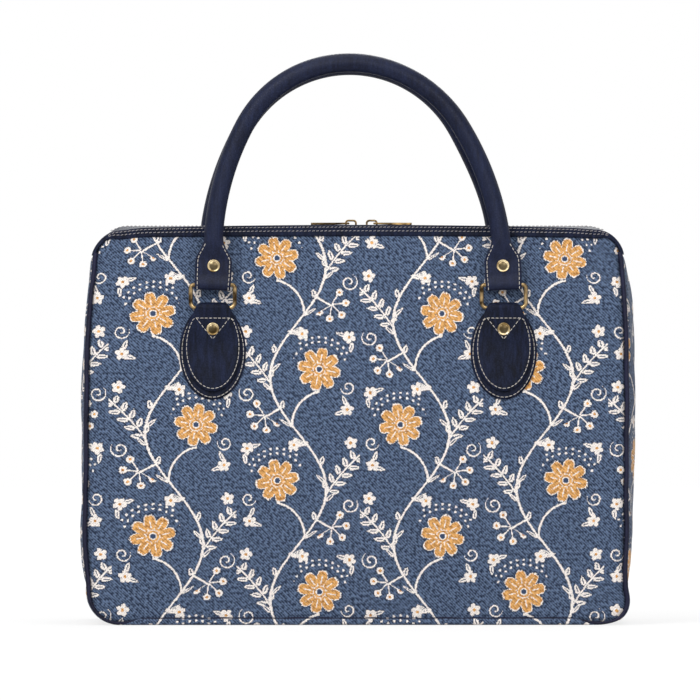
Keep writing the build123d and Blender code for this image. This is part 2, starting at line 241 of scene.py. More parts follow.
def tapestry():
    """Jacquard cloth: gold rosettes, cream stems, leaves and florets on slate-blue twill."""
    net = Finish("tapestry", Roughness=0.86, Specular_IOR_Level=0.25, Sheen_Weight=0.08, Sheen_Roughness=0.5)
    u, v, _ = net.apart(net.cloth_place())
    u, v = u * 1000, v * 1000
    thread = 0.6
    column_width, bay_height, sway = 88.0, 80.0, 20.0
    warp, weft = (u / thread).floor(), (v / thread).floor()
    x, y = (warp + 0.5) * thread, (weft + 0.5) * thread
    cell = net.node("ShaderNodeCombineXYZ", {}, {0: warp, 1: weft})
    fleck = net.node("ShaderNodeTexWhiteNoise", {"noise_dimensions": "2D"}, {"Vector": cell})
    ragged = 0.72 + fleck * 0.5

    # One bay of the trailing stem; bays are turned over along the stem and from column to column
    column = (x / column_width).floor()
    y = y + column * (0.5 * bay_height)
    bay = (y / bay_height).floor()
    facing = 1 - 2 * ((column + bay) % 2)
    x = (x - (column + 0.5) * column_width) * facing
    y = y - bay * bay_height
    cream, shade = [], []

    def weave(inside, *limits, hole=None):
        """Cream threads where a figure's value is below about one, with dark threads round them."""
        fill, edge = inside < ragged, inside < ragged + 0.6
        for limit in limits:
            fill, edge = fill * limit, edge * limit
        cream.append(fill if hole is None else fill * (1 - hole))
        shade.append(edge)

    def ray(cx, cy):
        """Distance and angle from a point of the bay."""
        dx, dy = x - cx, y - cy
        return (dx * dx + dy * dy).sqrt(), dy.turn_to(dx), dx, dy

    def petals(reach, angle, count, middle, long, wide, turn):
        """Oval petals round a point: below one inside a petal. Also the place along and across it."""
        step = 2 * math.pi / count
        local = (angle + turn) % step - step / 2
        along, across = reach * local.cos(), reach * local.sin()
        return ((along - middle) / long) ** 2 + (across / wide) ** 2, along, across

    def slanted(right, up, long, wide, turn):
        """A leaf that lies at an angle: below one inside it, and its vein."""
        c, s = math.cos(turn), math.sin(turn)
        along, across = right * c + up * s, up * c - right * s
        inside = (along / long) ** 2 + (across / wide * (1.1 + along * (0.3 / long))) ** 2
        return inside, (abs(across) < 0.32) * (abs(along) < 0.55 * long)

    # Stem with small leaves left and right of it in turn
    stem_x = (y * (math.pi / bay_height)).sin() * sway
    weave(abs(x - stem_x) / 0.95)
    step = bay_height / 6
    side = 1 - 2 * ((y / step).floor() % 2)
    leaf, vein = slanted(y % step - step * 0.55, (x - stem_x) * side - 3.3, 3.6, 1.6, 0.72)
    weave(leaf, hole=vein)

    # Rosette, the branch that carries it and the beads over it
    reach, angle, _, _ = ray(-15.0, 46.0)
    rosette, along, across = petals(reach, angle, 8, 9.6, 6.4, 4.3, 0.2)
    lobes = ((angle + 0.2) * 16).cos() * 0.1
    gold = (rosette + lobes < 0.66 + fleck * 0.18) * (reach > 4.6)
    rim = (rosette + lobes < 0.84 + fleck * 0.3).high(reach < 4.6)
    stamen = (abs(across) < 0.4) * (along > 6.0) * (along < 10.0 + fleck * 2.4)
    heart = (reach > 2.6) * (reach < 4.2)
    shade.append(rosette < 1.45)
    branch_reach, _, branch_x, branch_y = ray(-20.0, 6.0)
    weave(abs(branch_reach - 24.4) / 0.8, branch_x > 4.5, branch_y > -1.0)
    for radius, count, start in ((19.6, 26, 0.4), (23.0, 30, 0.9)):
        bead = ((angle * (count / (2 * math.pi))) % 1 - 0.5) * (2 * math.pi * radius / count)
        weave((bead / 1.0) ** 2 + ((reach - radius) / 0.85) ** 2, angle > start, angle < 3.0 - start * 0.4)

    # Sprig of paired leaves on the outer side of the stem, and two tendrils
    sx, sy = x - 20.0, y - 36.0
    sprig_s = sx * 0.53 + sy * 0.85
    sprig_t = sy * 0.53 - sx * 0.85 + sprig_s * sprig_s * 0.004
    weave(abs(sprig_t) / 0.62, sprig_s > 0, sprig_s < 37.0)
    leaf, vein = slanted(sprig_s % 7.4 - 4.6, abs(sprig_t) - 3.9, 3.7, 2.0, 0.93)
    weave(leaf, sprig_s > 3.0, sprig_s < 36.0, hole=vein)
    for cx, cy, far, pitch in ((36.5, 28.5, 6.2, 4.0), (-35.5, 33.0, 5.4, 3.8)):
        curl_reach, curl_angle, _, _ = ray(cx, cy)
        wind = (curl_reach - curl_angle * (pitch / (2 * math.pi))) % pitch - pitch / 2
        weave(abs(wind) / 0.55, curl_reach < far, curl_reach > 0.9)

    # Spray of florets below the sprig, lone florets and loose blades
    spray_reach, spray_angle, _, _ = ray(24.0, 12.5)
    floret, along, across = petals(spray_reach, spray_angle, 7, 10.4, 2.7, 2.7, 0.35)
    fan = (spray_angle < 1.5) * (spray_angle > -2.6)
    weave(abs(across) / 0.5, spray_reach < 9.0, spray_reach > 0.5, fan)
    dots = (floret < 0.14) * fan
    weave(floret, fan)
    weave(abs((x - 11.0) * 0.5 + (y - 19.0) * 0.866) / 0.75, x > stem_x, x < 24.5)
    lone_florets = (-35.0, 17.0, 0.3), (-36.5, 69.0, 0.9), (37.5, 73.0, 0.1), (-3.0, 71.5, 0.5)
    for cx, cy, turn in lone_florets:
        lone_reach, lone_angle, _, _ = ray(cx, cy)
        lone, _, _ = petals(lone_reach, lone_angle, 5, 2.7, 2.1, 1.75, turn)
        weave(lone)
        dots = dots.high(lone_reach < 1.1)
    loose_blades = (-33.0, 23.5, 1.2), (-29.5, 14.5, -0.3), (-38.0, 61.5, -1.4), (-30.5, 71.0, 0.3), (3.8, 72.5, 0.3)
    for cx, cy, turn in loose_blades:
        blade, vein = slanted(x - cx, y - cy, 3.6, 1.7, turn)
        weave(blade, hole=vein)

    # Colour of the threads: a steep twill in the ground, short floats in the figures
    drawn, edged = reduce(Wire.high, cream), reduce(Wire.high, shade)
    slub = net.noise(net.cloth_place(), 500.0, 0.0)
    ridge = 1 - abs(((u + v) / 2.2 + slub * 0.9) % 1 * 2 - 1)
    patchy = net.noise(net.cloth_place(), 22.0, 2.0)
    floats = (warp + weft * 2) % 3 < 0.9
    uneven = ridge * 1.05 + (slub - 0.5) * 2.2 - 0.03
    ground = net.blend(uneven.held(), tone(17, 28, 50), tone(95, 113, 142))
    ground = net.blend(patchy * 0.2, ground, tone(60, 77, 104))
    tone_share = (ridge * 0.6 + floats * 0.2 + (slub - 0.5) * 1.6).held()
    wool = net.blend(tone_share, tone(229, 174, 104), tone(142, 90, 42))
    linen = net.blend(floats * 0.3 + fleck * fleck * 0.5, tone(248, 241, 234), tone(172, 160, 160))
    colour = net.blend(edged * 0.6, ground, tone(27, 36, 56))
    colour = net.blend(drawn, colour, linen)
    colour = net.blend(rim, colour, linen)
    colour = net.blend(gold * (1 - stamen), colour, wool)
    colour = net.blend(dots.high(heart), colour, wool)
    net.feed("Base Color", net.blend(reach < 1.9, colour, tone(52, 66, 94)))
    rib = abs(((v / thread) % 1) * 2 - 1)
    net.bump(ridge * 0.7 + rib * 0.3 + fleck * 0.25 + drawn * 0.4, 0.16 * mm, 0.8)
    return net.material


def leather(name, dark, pale, grain_and_highlight, rough, shine):
    """Grained hide: creased cells, pores, long soft streaks that the colour also carries as painted highlight
    streaks, and a slow change of tone and shine.
    """
    net = Finish(name, Specular_IOR_Level=shine)
    place = net.place()
    drift = net.node("ShaderNodeTexNoise", {}, {"Vector": place, "Scale": 260.0}, 1)
    drift = net.node("ShaderNodeVectorMath", {"operation": "SCALE"}, {0: drift, "Scale": 0.0022})
    bent = net.node("ShaderNodeVectorMath", {"operation": "ADD"}, {0: place, 1: drift})
    cells = net.node("ShaderNodeTexVoronoi", {"feature": "DISTANCE_TO_EDGE"}, {"Vector": bent, "Scale": 620.0})
    crease = 1 - (cells * 5.0).low(1.0)
    pores = net.noise(place, 1900.0, 2.0)
    slow = net.noise(place, 26.0, 3.0)
    streak_and_painted_highlight = net.noise(net.node("ShaderNodeMapping", {}, {"Vector": place, "Scale": (420.0, 420.0, 70.0)}), 1.0, 3.0)
    # The long streaks in the base colour are painted highlight streaks; the third argument sets both their strength
    # and the depth of the grain
    tone_share = (slow - 0.5) * 0.8 + (streak_and_painted_highlight - 0.5) * (1.9 * grain_and_highlight) + (pores - 0.5) * 0.4 - crease * 0.3
    net.feed("Base Color", net.blend(tone_share + 0.5, dark, pale))
    net.feed("Roughness", rough + slow * 0.14 + streak_and_painted_highlight * 0.12 + crease * 0.12 - pores * 0.05)
    net.bump(slow * 0.6 + streak_and_painted_highlight * 0.5 + pores * 0.4 - crease * 0.6, 0.16 * mm * grain_and_highlight, 0.7)
    return net.material


def plate(name, pale, dark, centre=None):
    """Polished gold plate with fine rubbing marks and tarnish patches, whose strong dark and pale patches are also
    painted reflections and highlights; a cap is darkened inside its rim.
    """
    net = Finish(name, Metallic=1.0)
    place = net.place()
    rubbed = net.noise(net.node("ShaderNodeMapping", {}, {"Vector": place, "Scale": (900.0, 900.0, 120.0)}), 1.0, 3.0)
    tarnish_and_painted_reflection = net.noise(place, 140.0, 3.0)
    # The dark and pale patches are tarnish and also painted reflection: they stand in for dark reflections and bright
    # highlights on the metal
    colour = net.blend((tarnish_and_painted_reflection * 3.4 - 1.2).held(), pale, dark)
    if centre:
        _, far, _ = net.apart(net.cloth_place())
        colour = net.blend((3.7 - far * 1000).held() * 0.85, colour, centre)
    net.feed("Base Color", colour)
    net.feed("Roughness", 0.2 + rubbed * 0.12 + tarnish_and_painted_reflection * 0.08)
    net.bump(rubbed, 0.01 * mm, 0.4)
    return net.material


def twisted(name, pale, dark, scale):
    """Thread or cord: strands that wind round, seen as slanting ridges."""
    net = Finish(name, Roughness=0.72, Specular_IOR_Level=0.25)
    x, y, z = net.apart(net.place())
    wind = ((x * 0.8 + y * 0.6 + z) * scale).sin() * 0.5 + 0.5
    fuzz = net.noise(net.place(), 2600.0, 2.0)
    net.feed("Base Color", net.blend(wind * 0.6 + fuzz * 0.4, dark, pale))
    net.bump(wind + fuzz * 0.4, 0.06 * mm, 0.6)
    return net.material


def plain_weave(name, dark, pale, pitch):
    """Plain woven cloth, threads over and under on the piece's own cut."""
    net = Finish(name, Roughness=0.8, Specular_IOR_Level=0.25)
    u, v, _ = net.apart(net.cloth_place())
    over = (u * (math.pi / pitch)).sin() * (v * (math.pi / pitch)).sin()
    slub = net.noise(net.cloth_place(), 300.0, 2.0)
    net.feed("Base Color", net.blend(abs(over) * 0.6 + slub * 0.4, dark, pale))
    net.bump(abs(over) + slub * 0.3, 0.12 * mm, 0.7)
    return net.material


def moulded(name, dark, pale):
    """Moulded plastic or pressed board with a fine eggshell surface."""
    net = Finish(name, Specular_IOR_Level=0.4)
    speckle = net.noise(net.place(), 700.0, 2.0)
    net.feed("Base Color", net.blend(speckle, dark, pale))
    net.feed("Roughness", 0.35 + speckle * 0.2)
    net.bump(speckle, 0.03 * mm, 0.4)
    return net.material


tapestry_cloth = tapestry()
navy_hide = leather("navy_hide", tone(1, 5, 20), tone(26, 34, 60), 1.0, 0.42, 0.12)
smooth_hide = leather("smooth_hide", tone(6, 11, 31), tone(31, 39, 67), 0.6, 0.34, 0.17)
edge_hide = leather("edge_hide", tone(9, 11, 29), tone(34, 36, 64), 0.6, 0.34, 0.16)
gold_plate = plate("gold_plate", tone(178, 152, 110), tone(52, 39, 24))
bronze_plate = plate("bronze_plate", tone(122, 100, 66), tone(44, 33, 20))
cap_plate = plate("cap_plate", tone(224, 204, 162), tone(120, 98, 62), centre=tone(40, 31, 16))
dull_thread = twisted("dull_thread", tone(186, 180, 178), tone(112, 108, 116), 5200.0)
cream_thread = twisted("cream_thread", tone(218, 212, 203), tone(164, 158, 150), 5200.0)
filler_cord = twisted("filler_cord", tone(206, 194, 170), tone(150, 138, 116), 900.0)
lining_cloth = plain_weave("lining_cloth", tone(28, 34, 52), tone(48, 56, 80), 0.7 * mm)
tape_weave = plain_weave("tape_weave", tone(18, 21, 36), tone(36, 41, 60), 0.55 * mm)
tooth_plastic = moulded("tooth_plastic", tone(20, 23, 38), tone(34, 38, 58))
pressed_board = moulded("pressed_board", tone(70, 66, 62), tone(104, 98, 90))


# Meshes


def put(name, mesh, finish):
    piece = bpy.data.objects.new(name, mesh)
    bpy.context.scene.collection.objects.link(piece)
    mesh.materials.clear()
    mesh.materials.append(finish)
    return piece


def surface(name, points, finish, cut, ring=False, caps=False):
    """A piece from rows of points; ring joins each row's ends and caps close both ends of a tube.
    cut gives each point's place on the flat cloth, in metres."""
    points = settled(points)
    rows, cols = points.shape[:2]
    wide = cols + int(ring)
    row, col = np.meshgrid(np.arange(rows - 1), np.arange(wide - 1), indexing="ij")
    corner_row = joined(row, row, row + 1, row + 1).reshape(-1, 4)
    corner_col = joined(col, col + 1, col + 1, col).reshape(-1, 4)
    faces = (corner_row * cols + corner_col % cols).tolist()
    if caps:
        faces += [list(range(cols))[::-1], list(range((rows - 1) * cols, rows * cols))]
    mesh = bpy.data.meshes.new(name)
    mesh.from_pydata(points.reshape(-1, 3).tolist(), [], faces)
    if cut is not None:
        cut = np.asarray(cut, float).reshape(-1, 2)
        places = cut[(corner_row * wide + corner_col).reshape(-1)]
        if caps:
            places = np.concatenate([places, cut[:cols][::-1], cut[(rows - 1) * wide :][:cols]])
        layer = mesh.uv_layers.new(name="cloth")
        layer.data.foreach_set("uv", places.astype(np.float32).reshape(-1))
    made = bmesh.new()
    made.from_mesh(mesh)
    if ring:
        bmesh.ops.recalc_face_normals(made, faces=made.faces)
    else:
        middle = Vector((0, 0, panel_mid_z))
        if sum(f.normal.dot(f.calc_center_median() - middle) * f.calc_area() for f in made.faces) < 0:
            bmesh.ops.reverse_faces(made, faces=made.faces)
    made.to_mesh(mesh)
    made.free()
    mesh.shade_smooth()
    return put(name, mesh, finish)


def thickened(piece, wall):
    """Gives a sheet its thickness, inwards."""
    shell = piece.modifiers.new("wall", "SOLIDIFY")
    shell.thickness, shell.offset = wall, -1.0
    return piece


def baked(piece):
    """The piece as a plain mesh, with its modifiers worked in."""
    bpy.context.view_layer.update()
    mesh = bpy.data.meshes.new_from_object(piece.evaluated_get(bpy.context.evaluated_depsgraph_get()))
    piece.modifiers.clear()
    piece.data = mesh
    return piece


def sewn(piece, body, slot, *nodes):
    """Puts a piece on a body of the frame, in the place of its solids."""
    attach(piece, body)
    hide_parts(*nodes)


def rolled(name, rings, finish, body, slot, node, cut=None):
    """A closed piece from rings of points, on a body in the place of a solid."""
    sewn(surface(name, rings, finish, cut, ring=True, caps=True), body, slot, node)


def turned(points):
    """The same points on the back of the bag."""
    return np.asarray(points) * (-1, -1, 1)


def mirrored(points):
    """The same points on the other side of the bag."""
    return np.asarray(points) * (-1, 1, 1)


faces_of_bag = ("front", np.asarray), ("back", turned)
sides_of_bag = ("left", mirrored), ("right", np.asarray)
corners_of_bag = (
    ("front_right", np.asarray),
    ("front_left", mirrored),
    ("back_left", turned),
    ("back_right", lambda points: turned(mirrored(points))),
)


def swung(arm, angle):
    """A flat arrow turned by an angle."""
    c, s = math.cos(angle), math.sin(angle)
    return np.array([arm[0] * c - arm[1] * s, arm[0] * s + arm[1] * c])


def rounded(corners, radii, step):
    """Points and directions along straight runs joined by arcs, in a flat view."""
    corners = [np.array(c, float) for c in corners]
    places, ways = [], []
    start = corners[0]
    for i, radius in enumerate(list(radii) + [None]):
        way = corners[i + 1] - corners[i]
        way = way / np.linalg.norm(way)
        stop = corners[i + 1]
        if radius:
            after = corners[i + 2] - corners[i + 1]
            after = after / np.linalg.norm(after)
            side = way[0] * after[1] - way[1] * after[0]
            bend = math.atan2(side, float(way @ after))
            stop = corners[i + 1] - way * radius * math.tan(abs(bend) / 2)
        count = max(2, int(math.ceil(np.linalg.norm(stop - start) / step)))
        for k in range(count + (0 if radius else 1)):
            places.append(start + (stop - start) * k / count)
            ways.append(way)
        if radius:
            arm = np.array([way[1], -way[0]]) * math.copysign(radius, bend)
            centre = stop - arm
            steps = max(6, int(math.ceil(abs(bend) * radius / step * 2)))
            for k in range(steps):
                places.append(centre + swung(arm, bend * k / steps))
                ways.append(swung(way, bend * k / steps))
            start = centre + swung(arm, bend)
    return np.array(places), np.array(ways)


def run_length(points):
    """How far along its line each point lies."""
    return np.concatenate([[0.0], np.cumsum(np.linalg.norm(np.diff(points, axis=0), axis=1))])


def strap_section(line, half):
    """Ring of points round a line in a section, with rounded ends."""
    line = np.asarray(line, float)
    way = np.gradient(line, axis=0)
    way /= np.linalg.norm(way, axis=1)[:, None]
    side = joined(-way[:, 1], way[:, 0])
    turn = np.linspace(0, math.pi, 6)[1:-1, None]
    head = line[-1] + half * (side[-1] * np.cos(turn) + way[-1] * np.sin(turn))
    tail = line[0] - half * (side[0] * np.cos(turn) + way[0] * np.sin(turn))
    return np.concatenate([line + side * half, head, (line - side * half)[::-1], tail])


# Cloth of the body


def cloth_waves(x, z):
    """Slow unevenness of a soft, lightly stuffed face."""
    x, z = x / mm, z / mm
    slow = 0.55 * np.sin(x / 31 + 0.9 * np.sin(z / 43)) * np.sin(z / 37 + 1.1)
    quick = 0.16 * np.sin(x / 11.5 + z / 16 + 2 * np.sin(z / 61)) * np.sin(z / 23 - x / 47)
    return (slow + quick) * mm


def panel_points():
    """Front cloth: crowned, wavy, puckered along its seams and rolled in at its edges."""
    rows, cols = 128, 160
    foot_z, head_z = 1.9 * mm, 280.5 * mm
    share = np.linspace(0, 1, rows)
    z = foot_z + (head_z - foot_z) * (share - 0.08 * np.sin(2 * math.pi * share) / 1.6)
    across = np.linspace(-1, 1, cols)
    across = across + 0.05 * np.sin(math.pi * across)
    inset = 1.9 * mm + 1.2 * mm * ease((z - 3 * mm) / (24 * mm))
    below = np.clip(foot_radius - z, 0, foot_radius)
    head_corner = 11 * mm
    above = np.clip(z - (head_z - head_corner), 0, head_corner)
    wide = half_width(z) - foot_radius + np.sqrt(np.maximum((foot_radius - inset) ** 2 - below**2, 0))
    wide = wide - (head_corner - np.sqrt(head_corner**2 - above**2))
    x = across[None, :] * wide[:, None]
    z, inset = z[:, None], inset[:, None]
    qx, qz = np.abs(x) - (half_width(z) - foot_radius), foot_radius - z
    side = half_width(z) - np.abs(x)
    edge = np.where((qx > 0) & (qz > 0), foot_radius - np.hypot(qx, qz), np.minimum(side, z)) - inset
    edge = np.maximum(edge, 0)
    pucker = np.exp(-edge / (8 * mm)) * 0.32 * mm
    pucker = pucker * np.sin(np.where(qx > 0, z, x) / mm / 3.4 + 1.7 * np.sin((x + z) / mm / 19))
    roll = 2.9 * mm * bell(edge, 2.5 * mm)
    calm = within(edge / (14 * mm))
    depth = face_depth(x, z) + cloth_waves(x, z) * calm + pucker - roll
    depth = depth - 1.4 * mm * within((z - panel_top_z) / (3 * mm))
    return joined(x, -depth, z)


seam_turn, seam_soft = 2.2 * mm, 2.4 * mm


def gusset_points(bulge):
    """Right-hand side, soft between its seams."""
    rows, cols = 100, 60
    z = np.linspace(base_seam_z, shoulder_seam_z, rows)[:, None]
    s = np.linspace(-1, 1, cols)[None, :]
    s = s + 0.06 * np.sin(math.pi * s)
    w = (z - (base_seam_z + shoulder_seam_z) / 2) / ((shoulder_seam_z - base_seam_z) / 2)
    y = s * (half_depth(z) - seam_turn)
    swell = bulge * (1 - s**2) * (1 - w**4) * (1 + 0.2 * w)
    edge = (1 - np.abs(s)) * half_depth(z)
    calm = within(edge / (16 * mm)) * within((1 - np.abs(w)) / 0.12)
    slack = 1.5 * np.sin(y / mm / 13 + z / mm / 55) * np.sin(z / mm / 41 + 0.6)
    slack = (slack + 0.7 * np.sin(y / mm / 6.5 - z / mm / 30) * np.sin(z / mm / 19 + 2)) * calm * mm
    tuck = 1.3 * mm * bell(edge, seam_soft)
    seam = 1.0 * mm * (bell(z - base_seam_z, 2 * mm) + bell(z - shoulder_seam_z, 2 * mm))
    x = half_width(z) + swell + slack - tuck - seam
    return joined(x, y, z)


def base_points():
    """Foot cloth from one side seam to the other, tucked in at its edges, and the way along it."""
    seam, foot = half_width(base_seam_z), half_width(0)
    corners = (-seam, base_seam_z), (-foot, 0), (foot, 0), (seam, base_seam_z)
    path, way = rounded(corners, [foot_radius] * 2, 4 * mm)
    out = joined(way[:, 1], -way[:, 0])
    along = run_length(path)
    s = np.linspace(-1, 1, 48)
    s = s + 0.06 * np.sin(math.pi * s)
    x, z = path[:, 0][:, None], path[:, 1][:, None]
    y = s[None, :] * (half_depth(z) - seam_turn)
    edge = (1 - np.abs(s))[None, :] * half_depth(z)
    ends = np.minimum(along, along[-1] - along)[:, None]
    tuck = 1.2 * mm * bell(edge, seam_soft) + 1.0 * mm * bell(ends, 2 * mm)
    points = joined(x - out[:, 0][:, None] * tuck, y, z - out[:, 1][:, None] * tuck)
    return points, along


# Where each piece is cut from the length of cloth
cut_from = {"front": (0.263, 0.022), "back": (0.281, 0.061), "left": (0.6, 0.047), "right": (0.9, 0.047)}
cloth_wall = 1.1 * mm
panel = panel_points()
for name, flip in faces_of_bag:
    cut = joined(panel[..., 0], panel[..., 2] / math.cos(lean)) + cut_from[name]
    cloth = thickened(surface(name + "_cloth", flip(panel), tapestry_cloth, cut), cloth_wall)
    sewn(cloth, "bag", "tapestry", name + "_panel")

gusset_bulge = {"left": -0.6 * mm, "right": 5.6 * mm}
for name, flip in sides_of_bag:
    points = flip(gusset_points(gusset_bulge[name]))
    cut = points[..., 1:] + cut_from[name]
    cloth = thickened(surface(name + "_side_cloth", points, tapestry_cloth, cut), cloth_wall)
    sewn(cloth, "bag", "tapestry", name + "_gusset")

points, along = base_points()
cut = joined(along[:, None], points[..., 1] + 0.4)
cloth = thickened(surface("base_cloth", points, tapestry_cloth, cut), cloth_wall)
sewn(cloth, "bag", "tapestry", "base_panel")


def lining_points():
    """Loose bag inside the walls, drawn in to the zip at its top: each loop's height, half sizes and looseness."""
    loops = [(5.8, 0.1, 0.1, 0.0), (5.8, 163, 80, 2 / 3), (7, 166, 86, 5 / 6)]
    for z in np.linspace(30, 256, 30):
        loops.append((z, half_width(z * mm) / mm - 4.6, half_depth(z * mm) / mm - 6.2, 1.0))
    loops += [(269, 177, 50, 5 / 6), (275.5, 167, 36, 2 / 3), (280.6, 166.2, 10.5, 1 / 3)]
    turn = np.linspace(0, 2 * math.pi, 160, endpoint=False)
    c, s = np.cos(turn), np.sin(turn)
    squareness = 0.22
    rows = []
    for z, wide, deep, loose in loops:
        x = wide * np.sign(c) * np.abs(c) ** squareness
        y = deep * np.sign(s) * np.abs(s) ** squareness
        fold = 1.2 * np.sin(turn * 19 + z / 40) * loose * np.sin(math.pi * (z - 5) / 280)
        rows.append(joined(x - fold * c, y - fold * s, z) * mm)
    return np.array(rows)


points = lining_points()
around = np.linspace(0, 1.08, points.shape[1] + 1)
cut = joined(around, run_length(points[:, 0])[:, None])
bag = thickened(surface("lining_bag", points, lining_cloth, cut, ring=True), 0.5 * mm)
sewn(bag, "bag", "lining", "lining")


# Piping: hide-covered cord down the sides and round the foot corners, cloth-covered along the foot, where a thin dark
# line of the hide above the roll is painted shade in the seam


def piping_path():
    """Middle of the front cord, down one side, along the foot and up the other, and its way at each point."""
    inset = piping_radius + 0.3 * mm
    top_z = shoulder_seam_z + 2 * mm
    foot_rise = (inset - inset * math.sin(lean)) / math.cos(lean)
    top_rise = (top_z - inset * math.sin(lean)) / math.cos(lean)
    foot, top = half_width(inset) - inset, half_width(top_z) - inset
    corners = (-top, top_rise), (-foot, foot_rise), (foot, foot_rise), (top, top_rise)
    flat, way = rounded(corners, [foot_radius - inset] * 2, 3 * mm)
    tilted = np.array([[1, 0, 0], [0, math.sin(lean), math.cos(lean)]])
    origin = (0, panel_wall - half_depth(0) - inset * math.cos(lean), inset * math.sin(lean))
    return flat @ tilted + origin, way @ tilted


def tube(path, way, radius):
    """Rows of points round a path that lies in the leaning plane of the front."""
    front = np.array([0, -math.cos(lean), math.sin(lean)])
    out = np.cross(way, front)
    turn = np.linspace(0, 2 * math.pi, 14, endpoint=False)
    radius = np.broadcast_to(radius, len(path))[:, None, None]
    ring = np.cos(turn)[None, :, None] * front[None, None, :] + np.sin(turn)[None, :, None] * out[:, None, :]
    return path[:, None, :] + ring * radius


# The hide thins out round the foot corners and runs on under the cloth roll along the foot; there it is lifted so
# that a thin dark line of it shows above the roll, as painted shade in the seam's groove
hide_roll, cloth_roll, cord_reach = 1.72 * mm, 2.2 * mm, 2.0 * mm
path, way = piping_path()
wave = run_length(path) / mm
outward = joined(way[:, 2], 0.0, -way[:, 0])
outward[(outward * (path - (0, 0, panel_mid_z))).sum(1) < 0] *= -1
corner = ease((27 * mm - path[:, 2]) / (24.5 * mm))
inner = ease((172 * mm - np.abs(path[:, 0])) / (26 * mm)) * (path[:, 2] < 20 * mm)
uneven = 0.06 * np.sin(wave / 2.9) + 0.05 * np.sin(wave / 8.1 + 1)
hide_thick = hide_roll + (uneven - 0.7 * corner - 0.2 * inner) * mm
# Along the foot the hide is drawn in and lifted: a thin dark strip put in as painted shade of the seam groove
hide_path = path + outward * (cord_reach - hide_thick)[:, None] + inner[:, None] * (0, 0.9 * mm, 3.7 * mm)
hide_path[:, 0] += (0.3 * np.sin(wave / 21) + 0.15 * np.sin(wave / 7.3)) * mm * (path[:, 2] > 30 * mm)
roll_span = np.flatnonzero(inner > 0)
roll_thick = cloth_roll * np.clip(inner[roll_span] * 1.6, 0.08, 1)
roll_path = path[roll_span] - (0, 0, 1) * (cloth_roll - roll_thick)[:, None]
for name, flip in faces_of_bag:
    points = tube(hide_path, way, hide_thick)
    rolled(name + "_piping_hide_and_seam_shade", flip(points), edge_hide, "bag", "leather", name + "_piping")
    points = tube(roll_path, way[roll_span], roll_thick)
    cut = np.concatenate([points, points[:, :1]], 1)[..., [0, 2]] + cut_from[name]
    rolled(name + "_foot_roll_cloth", flip(points), tapestry_cloth, "bag", "tapestry", name + "_piping", cut)


# Hide over the top edge, tabs past the ends of the zip


def rim_path(step):
    """Top edge of the body from shoulder to shoulder, and the way out of it at each point."""
    side, top = half_width(shoulder_seam_z), half_width(body_height)
    corners = (-side, shoulder_seam_z), (-top, body_height), (top, body_height), (side, shoulder_seam_z)
    path, way = rounded(corners, [shoulder_radius] * 2, step)
    return path, joined(-way[:, 1], way[:, 0])


edge_arch, arch_half = 0.9 * mm, 165 * mm


def rim_place(point, out, y, inward):
    """Where a place of the strip's section comes, with the front edge arched a little."""
    x, z = point[0] - out[0] * inward, point[1] - out[1] * inward
    arch = edge_arch * max(0, 1 - (point[0] / arch_half) ** 2)
    return joined(x, y, z + arch * within((np.abs(y) - 12 * mm) / (40 * mm)))


hide_half, fold_radius, lip_proud = 0.75 * mm, 1.4 * mm, 0.9 * mm
lip_narrow, lip_more, lip_less = 1.9 * mm, 5.4 * mm, 1.1 * mm


def lip_width(point, out):
    """How far the strip comes down the front: less to its ends, and narrow round the shoulders."""
    flat = max(0.0, 1 - abs(out[0]))
    return lip_narrow + (lip_more - lip_less * (point[0] / (150 * mm)) ** 2) * flat**1.5


def lip_line(point, out):
    """Middle of the strip's hide: from the zip, over the edge and down the front, as depth and inward."""
    lip = lip_width(point, out)
    front = half_depth(point[1]) + lip_proud
    y = [-zip_opening / 2 - hide_half, *np.linspace(-zip_opening / 2 - 4 * mm, -front + fold_radius, 9)]
    inward = [hide_half + 0.25 * mm] + [hide_half] * 9
    for angle in np.linspace(0, math.pi / 2, 6)[1:]:
        y.append(-front + fold_radius - (fold_radius - hide_half) * math.sin(angle))
        inward.append(fold_radius - (fold_radius - hide_half) * math.cos(angle))
    for depth in np.linspace(fold_radius, lip, 5)[1:]:
        below = point[1] - out[1] * depth
        y.append(-half_depth(below) - lip_proud + hide_half)
        inward.append(depth)
    return joined(y, inward)


stations, outs = rim_path(4 * mm)
strip = []
for point, out in zip(stations, outs):
    ring = strap_section(lip_line(point, out), hide_half)
    strip.append(rim_place(point, out, ring[:, 0], ring[:, 1]))
for name, flip in faces_of_bag:
    rolled(name + "_top_hide", flip(strip), navy_hide, "bag", "leather", name + "_top_strip")

tab = []
for point, out in zip(stations, outs):
    if point[0] > zip_half_length:
        y = np.linspace(-zip_opening / 2 + 0.7 * mm, zip_opening / 2 - 0.7 * mm, 9)
        ring = strap_section(joined(y, 0.9 * mm - 0.5 * mm * np.cos(y / zip_opening * math.pi)), 0.7 * mm)
        tab.append(joined(point[0] - out[0] * ring[:, 1], ring[:, 0], point[1] - out[1] * ring[:, 1]))
for name, flip in sides_of_bag:
    rolled(name + "_zip_end_hide", flip(tab), navy_hide, "bag", "leather", name + "_zip_end")


# Zip: woven tapes and interlocked teeth

tape_end, tape_edges = 172 * mm, (-15.6 * mm, -1.4 * mm)
for name, flip in faces_of_bag:
    grid_x, grid_y = np.meshgrid(np.linspace(-tape_end, tape_end, 90), np.linspace(*tape_edges, 10))
    z = tape_top_z + 0.12 * mm * np.sin(grid_x / (9 * mm)) * within((-2.5 * mm - grid_y) / (4 * mm))
    points = flip(joined(grid_x, grid_y, z))
    tape = surface(name + "_zip_tape_cloth", points, tape_weave, joined(grid_x, grid_y))
    sewn(thickened(tape, 0.8 * mm), "bag", "zip_tape", name + "_zip_tape")


